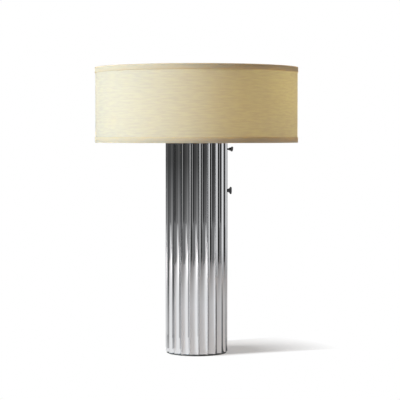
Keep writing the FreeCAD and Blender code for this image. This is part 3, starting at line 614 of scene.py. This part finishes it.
def glue(piece, test):
    """Give the bonding layer to the faces of a finished piece whose middle and normal pass the test."""
    piece.data.materials.append(bond)
    for panel in piece.data.polygons:
        if test(panel.center, panel.normal):
            panel.material_index = 1


shade_cover = drum("shade_cover", cloth_radius - cloth_thickness, cloth_radius, cloth_low.z, cloth_high.z)
edit(shade_cover)
pick(shade_cover, "FACE", lambda co: (
    co.y > 0 and abs(co.x) < lap / 2 and co.xy.length > cloth_radius - skin_margin))
bpy.ops.mesh.extrude_region_shrink_fatten(TRANSFORM_OT_shrink_fatten={"value": lap_step})
smooth(shade_cover, 40)
unroll(shade_cover, cloth_radius)
fit(shade_cover, cloth, "shade", "shade_cloth", "shade_cloth")
glue(shade_cover, lambda co, normal: (
    co.xy.length < cloth_radius - cloth_thickness / 2 and abs(normal.z) < wall_tilt))


# Shade lining: white styrene sheet rolled to a drum and bonded to the cloth. It is matt inside and
# milky, and spreads the bulbs' light.

lining_passing = 0.5

styrene, tree, place = blank("matt_white_styrene")
# Rolled sheet: a warm flat white with hardly any gloss, that glows evenly where light comes through.
sheet_grain = add(tree, "ShaderNodeTexNoise", {"Vector": place, "Scale": 1 / (2 * mm), "Detail": 3.0})
bump = add(tree, "ShaderNodeBump", {
    "Height": sheet_grain.outputs["Fac"], "Strength": 0.15, "Distance": 0.1 * mm})
face = add(tree, "ShaderNodeBsdfPrincipled", {
    "Base Color": linear("#F6F3EA"), "Roughness": 0.55, "Normal": bump.outputs["Normal"]})
through = add(tree, "ShaderNodeBsdfTranslucent", {"Color": linear("#FCF8EC")})
milky = add(tree, "ShaderNodeMixShader", {
    0: lining_passing, 1: face.outputs["BSDF"], 2: through.outputs["BSDF"]})
add(tree, "ShaderNodeOutputMaterial", {"Surface": milky.outputs["Shader"]})

glue_gap, lining_thickness = 0.1 * mm, 0.75 * mm
lining_low, lining_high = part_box("shade_lining")
lining_outer = cloth_radius - cloth_thickness - glue_gap
lining_inner = lining_outer - lining_thickness
shade_drum = drum("shade_drum", lining_inner, lining_outer, lining_low.z, lining_high.z)
fit(shade_drum, styrene, "shade", "styrene", "shade_lining")
glue(shade_drum, lambda co, normal: (
    co.xy.length > (lining_inner + lining_outer) / 2 and abs(normal.z) < wall_tilt))


# Trim tapes: bias cut tape of the same cloth, folded over each wire ring and glued down, so that it
# stands a millimetre proud of the cloth. The top one is slit round the spider's arms.

tape_passing = 0.55

tape, tree, place = blank("folded_cream_trim_tape")
# Doubled cloth, glued flat: like the cloth but thicker, so that less light comes through, and with a
# fine uneven rib.
rib = add(tree, "ShaderNodeTexNoise", {"Vector": place, "Scale": 1 / (1.5 * mm), "Detail": 3.0})
tint = add(tree, "ShaderNodeValToRGB", {"Fac": rib.outputs["Fac"]})
tint.color_ramp.elements[0].position = 0.3
tint.color_ramp.elements[0].color = linear("#EFF7E6")
tint.color_ramp.elements[1].position = 0.7
tint.color_ramp.elements[1].color = linear("#F6FDEF")
bump = add(tree, "ShaderNodeBump", {"Height": rib.outputs["Fac"], "Strength": 0.4, "Distance": 0.2 * mm})
face = add(tree, "ShaderNodeBsdfPrincipled", {
    "Base Color": tint.outputs["Color"], "Roughness": 0.8, "Sheen Weight": 0.2, "Sheen Roughness": 0.4,
    "Specular IOR Level": 0.1, "Normal": bump.outputs["Normal"]})
through = add(tree, "ShaderNodeBsdfTranslucent", {"Color": linear("#FFD662")})
doubled = add(tree, "ShaderNodeMixShader", {
    0: tape_passing, 1: face.outputs["BSDF"], 2: through.outputs["BSDF"]})
add(tree, "ShaderNodeOutputMaterial", {"Surface": doubled.outputs["Shader"]})

tape_thickness = 1.0 * mm
tape_leg = 11 * mm
tape_inner_leg = 6 * mm
tape_inner_radius = 197.2 * mm
tape_rounding = 0.42 * mm
tape_skin = 0.9 * tape_thickness
arm_turns = (90, 210, 330)
notch_radius, notch_depth = 2.2 * mm, 2 * mm
ring_low, ring_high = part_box("top_ring")
ring_level = (ring_low.z + ring_high.z) / 2
for node, up in (("top_trim", 1), ("bottom_trim", -1)):
    low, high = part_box(node)
    edge = high.z if up > 0 else low.z
    outer = high.x
    trim = vertex(node + "_tape", (outer - tape_thickness, 0, edge - up * tape_leg))
    pull((tape_thickness, 0, 0))
    pull((0, 0, up * tape_leg))
    pull((tape_inner_radius - outer, 0, 0))
    pull((0, 0, -up * tape_inner_leg))
    pull((tape_thickness, 0, 0))
    pull((0, 0, up * (tape_inner_leg - tape_thickness)))
    pull((outer - tape_inner_radius - 2 * tape_thickness, 0, 0))
    pull((0, 0, -up * (tape_leg - tape_thickness)))
    lathe(shade_steps)
    apply(trim, "BEVEL", width=tape_rounding, segments=3, limit_method="ANGLE",
          angle_limit=math.radians(50))
    trim.rotation_euler.z = math.pi / shade_steps
    for turn in arm_turns if up > 0 else ():
        heading = math.radians(turn)
        notch = (tape_inner_radius * math.cos(heading), tape_inner_radius * math.sin(heading), ring_level)
        drill(trim, notch_radius, 2 * notch_depth, notch, (0, math.pi / 2, heading), sides=24)
    smooth(trim, 50)
    fit(trim, tape, "shade", "shade_cloth", node)
    glue(trim, lambda co, normal: (
        tape_inner_radius + tape_skin < co.xy.length < outer - tape_skin and abs(co.z - edge) > tape_skin))

dress(zinc, "top_ring", "bottom_ring", "spider")


# Rotary switches: moulded bodies inside the column, each held by a bush, a saddle washer shaped to the
# flute and a hexagon nut. The shaft through the bush carries the key.

phenolic, tree, place = blank("moulded_brown_black_phenolic")
# Pressed phenolic: very dark brown, glossy, with a faint flour mottle.
flour = add(tree, "ShaderNodeTexNoise", {"Vector": place, "Scale": 1 / (0.8 * mm), "Detail": 4.0})
tint = add(tree, "ShaderNodeValToRGB", {"Fac": flour.outputs["Fac"]})
tint.color_ramp.elements[0].color = linear("#1A1512")
tint.color_ramp.elements[1].color = linear("#2A211C")
pressed = add(tree, "ShaderNodeBsdfPrincipled", {"Base Color": tint.outputs["Color"], "Roughness": 0.25})
add(tree, "ShaderNodeOutputMaterial", {"Surface": pressed.outputs["BSDF"]})

dark_plate, tree, place = blank("polished_black_nickel")
# Black nickel over die cast zinc: a dark mirror, a little softer where fingers have worn it.
wear = add(tree, "ShaderNodeTexNoise", {"Vector": place, "Scale": 1 / (4 * mm), "Detail": 3.0})
tint = add(tree, "ShaderNodeValToRGB", {"Fac": wear.outputs["Fac"]})
tint.color_ramp.elements[0].color = linear("#3A3B3D")
tint.color_ramp.elements[1].color = linear("#56575A")
gloss = add(tree, "ShaderNodeMapRange", {"Value": wear.outputs["Fac"], "To Min": 0.1, "To Max": 0.24})
nickel = add(tree, "ShaderNodeBsdfPrincipled", {
    "Base Color": tint.outputs["Color"], "Metallic": 1.0, "Roughness": gloss.outputs["Result"]})
add(tree, "ShaderNodeOutputMaterial", {"Surface": nickel.outputs["BSDF"]})

nut_rounding = 0.35 * mm
low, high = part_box("upper_switch_nut")
take()
bpy.ops.mesh.primitive_cylinder_add(vertices=6, radius=(high.z - low.z) / 2, depth=high.x - low.x)
nut = bpy.context.object
nut.name = "upper_nut"
drill(nut, bush_hole, drill_length)
apply(nut, "BEVEL", width=nut_rounding, segments=3, limit_method="ANGLE", angle_limit=math.radians(40))
smooth(nut, 40)
for name, piece in (("upper", nut), ("lower", twin(nut, "lower_nut"))):
    low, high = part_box(name + "_switch_nut")
    piece.rotation_euler = (0, math.pi / 2, 0)
    piece.location = ((low.x + high.x) / 2, 0, (low.z + high.z) / 2)
    fit(piece, dark_plate, "lamp", "chrome", name + "_switch_nut")
    dress(dark_plate, name + "_saddle_washer", name + "_switch_bush", name + "_switch_shaft")
    dress(phenolic, name + "_switch_body")
    dress(brass, name + "_switch_terminals")


# Turn keys: flat fan shaped keys of die cast zinc, plated dark and pressed on the switch shafts. The upper
# one stands further out, and each is left at the turn that the photograph shows.

key_length, key_neck, key_thickness, key_rounding = 9 * mm, 6.6 * mm, 3.2 * mm, 1 * mm
key_flare, flare_start, flare_angle = 4.383 * mm, 0.762 * mm, 70
lobe_middle, lobe_height, lobe_angle = 6.76 * mm, 5.5 * mm, 155
tip_radius, tip_angle = 65.1 * mm, 5
upper_turn, lower_turn = 58, 10
key = vertex("upper_key", (0, -key_thickness / 2, key_neck / 2))
trace(key, (flare_start, key_neck / 2))
arc(flare_start, key_neck / 2 + key_flare, -flare_angle, 10)
arc(lobe_middle, lobe_height, lobe_angle, 16)
arc(key_length - tip_radius, 0, 2 * tip_angle, 8)
arc(lobe_middle, -lobe_height, lobe_angle, 16)
arc(flare_start, -key_neck / 2 - key_flare, -flare_angle, 10)
trace(key, (0, -key_neck / 2))
bpy.ops.mesh.select_all(action="SELECT")
bpy.ops.mesh.edge_face_add()
pull((0, key_thickness, 0))
weld()
apply(key, "BEVEL", width=key_rounding, segments=5, limit_method="ANGLE", angle_limit=math.radians(50))
smooth(key, 40)
for name, turn, piece in (("upper", upper_turn, key), ("lower", lower_turn, twin(key, "lower_key"))):
    low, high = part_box(name + "_turn_key")
    piece.rotation_euler = (math.radians(turn), 0, 0)
    piece.location = (low.x, 0, (low.z + high.z) / 2)
    fit(piece, dark_plate, name + "_key", "chrome", name + "_turn_key")


# Floor, backdrop and light: a white sheet under the lamp, a dark studio round it that the chrome
# mirrors, and one large soft light from the left.

floor_left, floor_right, floor_front, floor_back = -3.5, 1.7, -2.2, 6.0
shadow_root, shadow_reach, shadow_veil = 0.12, 0.3, 0.36
shadow_way, shadow_across = (0.934, 0.358, 0), (0.358, -0.934, 0)
lit_start, shadow_shift, edge_inner, edge_outer = 0.05, 0.032, 0.065, 0.108
# Painted light that only the chrome sees: white painted on the floor near the lamp toward the light, less
# elsewhere.
white_reach, plain_from = 1.0, 2.2
painted_light_way = (-0.85, -0.53, 0)
painted_light_start, painted_light_full = 0.62, 0.96
front_start, front_full, front_share = 0.2, 0.9, 0.25
# A painted shadow that only the chrome sees: a dark fan on the floor to the right of the lamp.
fan_root, fan_way = (0.03, -0.045, 0), (0.951, 0.309, 0)
fan_outer, fan_inner, fan_depth, fan_brightness = 0.92, 0.97, 0.9, 0.08
fan_reach, fan_end = 0.9, 1.95
floor_drop = 0.2 * mm


def seen(tree):
    """Whether a ray is the eye's own or in glass, and whether it is in a mirror. Rays that light a matt
    surface are neither."""
    path = add(tree, "ShaderNodeLightPath")
    unlit = add(tree, "ShaderNodeMath", {0: path.outputs["Diffuse Depth"], 1: 0.5}, operation="LESS_THAN")
    eye = add(tree, "ShaderNodeMath", {
        0: path.outputs["Is Camera Ray"], 1: path.outputs["Is Transmission Ray"]}, operation="MAXIMUM")
    direct = add(tree, "ShaderNodeMath", {0: eye.outputs["Value"], 1: unlit.outputs["Value"]},
                 operation="MULTIPLY")
    mirror = add(tree, "ShaderNodeMath", {0: path.outputs["Is Glossy Ray"], 1: unlit.outputs["Value"]},
                 operation="MULTIPLY")
    return direct.outputs["Value"], mirror.outputs["Value"]


floor_paper, tree, place = blank("white_floor_paper")
# White paper, plain white to the eye but for the lamp's soft shadow close to it. In the chrome it is lit
# paper with a painted pool of light: white painted on near the lamp on the side of the light.
away = add(tree, "ShaderNodeVectorMath", {0: place}, operation="LENGTH")
fade = add(tree, "ShaderNodeMapRange", {
    "Value": away.outputs["Value"], "From Min": shadow_root, "From Max": shadow_reach,
    "To Min": shadow_veil, "To Max": 1.0})
down_light = add(tree, "ShaderNodeVectorMath", {0: place, 1: shadow_way}, operation="DOT_PRODUCT")
lit_side = add(tree, "ShaderNodeMapRange", {
    "Value": down_light.outputs["Value"], "From Min": lit_start, "From Max": 0.0,
    "To Min": 0.0, "To Max": 1.0})
across = add(tree, "ShaderNodeVectorMath", {0: place, 1: shadow_across}, operation="DOT_PRODUCT")
centred = add(tree, "ShaderNodeMath", {0: across.outputs["Value"], 1: shadow_shift}, operation="ADD")
beside = add(tree, "ShaderNodeMath", {0: centred.outputs["Value"]}, operation="ABSOLUTE")
shadow_edge = add(tree, "ShaderNodeMapRange", {
    "Value": beside.outputs["Value"], "From Min": edge_inner, "From Max": edge_outer,
    "To Min": 0.0, "To Max": 1.0})
clear = add(tree, "ShaderNodeMath", {0: shadow_edge.outputs["Result"], 1: lit_side.outputs["Result"]},
            operation="MAXIMUM")
around = add(tree, "ShaderNodeMath", {0: fade.outputs["Result"], 1: clear.outputs["Value"]},
             operation="MAXIMUM")
way = add(tree, "ShaderNodeVectorMath", {0: place}, operation="NORMALIZE")
up_light = add(tree, "ShaderNodeVectorMath", {0: way.outputs["Vector"], 1: painted_light_way},
               operation="DOT_PRODUCT")
front = add(tree, "ShaderNodeMapRange", {
    "Value": away.outputs["Value"], "From Min": front_start, "From Max": front_full,
    "To Min": 0.0, "To Max": front_share})
painted_light_side = add(tree, "ShaderNodeMapRange", {
    "Value": up_light.outputs["Value"], "From Min": painted_light_start, "From Max": painted_light_full,
    "To Min": front.outputs["Result"]})
near = add(tree, "ShaderNodeMapRange", {
    "Value": away.outputs["Value"], "From Min": white_reach, "From Max": plain_from,
    "To Min": 1.0, "To Max": 0.0})
# Painted light: the share of white that the chrome sees painted on the floor.
lit = add(tree, "ShaderNodeMath", {0: near.outputs["Result"], 1: painted_light_side.outputs["Result"]},
          operation="MULTIPLY")
direct, mirror = seen(tree)
reflected = add(tree, "ShaderNodeMath", {0: mirror, 1: lit.outputs["Value"]}, operation="MULTIPLY")
shown = add(tree, "ShaderNodeMath", {0: direct, 1: reflected.outputs["Value"]}, operation="MAXIMUM")
share = add(tree, "ShaderNodeMath", {0: around.outputs["Value"], 1: shown.outputs["Value"]},
            operation="MULTIPLY")
paper = add(tree, "ShaderNodeBsdfDiffuse", {"Color": linear("#F9E8DE")})
white = add(tree, "ShaderNodeEmission", {"Strength": 1.0})
both = add(tree, "ShaderNodeMixShader", {
    0: share.outputs["Value"], 1: paper.outputs["BSDF"], 2: white.outputs["Emission"]})
# The chrome also mirrors a painted shadow, a dark fan of floor to its right where the shade's shadow would
# lie.
off = add(tree, "ShaderNodeVectorMath", {0: place, 1: fan_root}, operation="SUBTRACT")
line = add(tree, "ShaderNodeVectorMath", {0: off.outputs["Vector"]}, operation="NORMALIZE")
turned_away = add(tree, "ShaderNodeVectorMath", {0: line.outputs["Vector"], 1: fan_way},
                  operation="DOT_PRODUCT")
fan = add(tree, "ShaderNodeMapRange", {
    "Value": turned_away.outputs["Value"], "From Min": fan_outer, "From Max": fan_inner,
    "To Min": 0.0, "To Max": 1.0})
thin = add(tree, "ShaderNodeMapRange", {
    "Value": away.outputs["Value"], "From Min": fan_reach, "From Max": fan_end,
    "To Min": fan_depth, "To Max": 0.0})
painted_shadow_fan = add(tree, "ShaderNodeMath", {0: fan.outputs["Result"], 1: thin.outputs["Result"]},
                operation="MULTIPLY")
painted_shadow_share = add(tree, "ShaderNodeMath", {0: painted_shadow_fan.outputs["Value"], 1: mirror}, operation="MULTIPLY")
dark = add(tree, "ShaderNodeEmission", {"Strength": fan_brightness})
sheet = add(tree, "ShaderNodeMixShader", {
    0: painted_shadow_share.outputs["Value"], 1: both.outputs["Shader"], 2: dark.outputs["Emission"]})
add(tree, "ShaderNodeOutputMaterial", {"Surface": sheet.outputs["Shader"]})
take()
bpy.ops.mesh.primitive_plane_add(size=1)
floor = bpy.context.object
floor.name = "floor"
floor.scale = (floor_right - floor_left, floor_back - floor_front, 1)
floor.location = ((floor_right + floor_left) / 2, (floor_back + floor_front) / 2, -floor_drop)
bpy.ops.object.transform_apply(location=True, rotation=True, scale=True)
floor.data.materials.append(floor_paper)


card_facet = 6


def flag(name, left, right, distance, low, high, brightness, foot_brightness=None, foot=(0.0, 0.1)):
    """An upright card that only mirrors see, from one heading to another, in degrees to the right of the
    camera. Its brightness may change between two heights at its foot."""
    card, tree, place = blank(name + "_card")
    height = add(tree, "ShaderNodeSeparateXYZ", {0: place})
    shade = add(tree, "ShaderNodeMapRange", {
        "Value": height.outputs["Z"], "From Min": foot[0], "From Max": foot[1],
        "To Min": brightness if foot_brightness is None else foot_brightness, "To Max": brightness})
    mirror = seen(tree)[1]
    level = add(tree, "ShaderNodeMath", {0: mirror, 1: shade.outputs["Result"]}, operation="MULTIPLY")
    lit = add(tree, "ShaderNodeEmission", {"Strength": level.outputs["Value"]})
    add(tree, "ShaderNodeOutputMaterial", {"Surface": lit.outputs["Emission"]})
    steps = max(2, round((right - left) / card_facet))
    start, end = math.radians(left), math.radians(right)
    panel = vertex(name, (distance * math.sin(start), -distance * math.cos(start), low))
    bpy.ops.mesh.spin(steps=steps, angle=start - end, center=(0, 0, 0), axis=(0, 0, 1))
    bpy.ops.mesh.select_all(action="SELECT")
    pull((0, 0, high - low))
    bpy.ops.object.mode_set(mode="OBJECT")
    panel.data.materials.append(card)
    panel.visible_camera = False
    panel.visible_diffuse = False
    panel.visible_shadow = False
    panel.visible_transmission = False
    panel.visible_volume_scatter = False


# The dark room with its drapes and far floor, a grey and a black strip in front, a white card at the right,
# and dark cards at the left that draw the lines between the flutes there.
flag("dark_room", -160, 70, 5.0, -1.0, 4.0, 0.064, 0.16, (0.0, 0.3))
flag("left_drape", -95, -50, 4.9, -0.2, 4.0, 0.1, 0.3, (0.0, 0.3))
flag("middle_drape", -8, 17, 4.7, 0.0, 4.0, 0.026, 0.05, (0.0, 0.3))
flag("far_floor", -28, 28, 4.8, -1.0, 0.02, 0.2)
flag("grey_strip", 24, 36, 4.6, -0.02, 4.0, 0.38)
flag("black_flag", 40, 68, 2.3, 0.0, 4.0, 0.01)
flag("white_card", 74, 130, 1.9, -0.2, 4.0, 0.86, 0.42, (0.0, 0.08))
flag("left_back_flag", -128, -92, 0.3, 0.0, 4.0, 0.05, 0.38, (0.03, 0.115))
flag("left_low_flag", -92, -70, 0.31, 0.0, 0.25, 0.3, 0.46, (0.03, 0.115))
flag("left_low_strip", -122, -72, 0.13, 0.0, 0.028, 0.33, 0.52, (0.0, 0.028))
flag("left_far_floor", -64, -30, 3.2, -0.5, 0.08, 0.42, 0.95, (0.0, 0.08))

world = bpy.data.worlds.new("studio")
bpy.context.scene.world = world
world.use_nodes = True
tree = world.node_tree
tree.nodes.clear()
ambient = add(tree, "ShaderNodeBackground", {"Color": linear("#F0F8FF"), "Strength": 0.135})
backdrop = add(tree, "ShaderNodeBackground", {"Color": linear("#FFFFFF"), "Strength": 1.0})
direct, mirror = seen(tree)
plain = add(tree, "ShaderNodeMath", {0: direct, 1: mirror}, operation="MAXIMUM")
sky = add(tree, "ShaderNodeMixShader", {
    0: plain.outputs["Value"], 1: ambient.outputs["Background"], 2: backdrop.outputs["Background"]})
add(tree, "ShaderNodeOutputWorld", {"Surface": sky.outputs["Shader"]})

aim = Vector((0, 0, 0.3))


def light(name, kind, energy, place):
    """A light at a place, turned to the middle of the lamp."""
    source = bpy.data.objects.new(name, bpy.data.lights.new(name, kind))
    bpy.context.scene.collection.objects.link(source)
    source.data.energy = energy
    source.location = place
    source.rotation_euler = (aim - source.location).to_track_quat("-Z", "Y").to_euler()
    return source


key_heading, key_height, key_distance = math.radians(-71), math.radians(28), 3.0
key_energy, key_size = 110, 1.2
toward = Vector((
    math.sin(key_heading) * math.cos(key_height), -math.cos(key_heading) * math.cos(key_height),
    math.sin(key_height)))
key_light = light("key_light", "AREA", key_energy, aim + toward * key_distance)
key_light.data.shape = "SQUARE"
key_light.data.size = key_size
key_light.data.color = linear("#E4F4FF")[:3]

# The white card's light on the lamp's right side.
card_energy, card_size, card_place = 6, 1.4, (1.84, 0.49, 0.75)
card_light = light("card_light", "AREA", card_energy, card_place)
card_light.data.shape = "SQUARE"
card_light.data.size = card_size
card_light.visible_glossy = False

# The white room's light that reaches the inside of the shade through its open ends and back.
fill_energy, fill_radius, fill_forward, fill_drop = 1.16, 0.06, 0.04, 0.04
fill_place = (0, -fill_forward, (cloth_low.z + cloth_high.z) / 2 - fill_drop)
inner_fill = light("inner_fill", "POINT", fill_energy, fill_place)
inner_fill.data.shadow_soft_size = fill_radius
inner_fill.visible_camera = False
inner_fill.visible_glossy = False


# Camera: the photograph's viewing angle, a long lens at the height of the shade's lower part, turned a
# little to the side so that the lamp stands where it does there.

camera_turn, camera_distance, camera_height = -4.1, 3.111, 0.4398
camera_pitch, lens_pixels, axis_offset, image_width, sensor_width = 2.42, 1544, 3.5, 400, 36
camera_data = bpy.data.cameras.new("camera")
camera_data.sensor_width = sensor_width
camera_data.lens = sensor_width * lens_pixels / image_width
camera = bpy.data.objects.new("camera", camera_data)
bpy.context.scene.collection.objects.link(camera)
turn = math.radians(camera_turn)
camera.location = (camera_distance * math.sin(turn), -camera_distance * math.cos(turn), camera_height)
camera.rotation_euler = (math.radians(90 - camera_pitch), 0, turn - math.atan(axis_offset / lens_pixels))
bpy.context.scene.camera = camera
bpy.context.scene.view_settings.view_transform = "Standard"
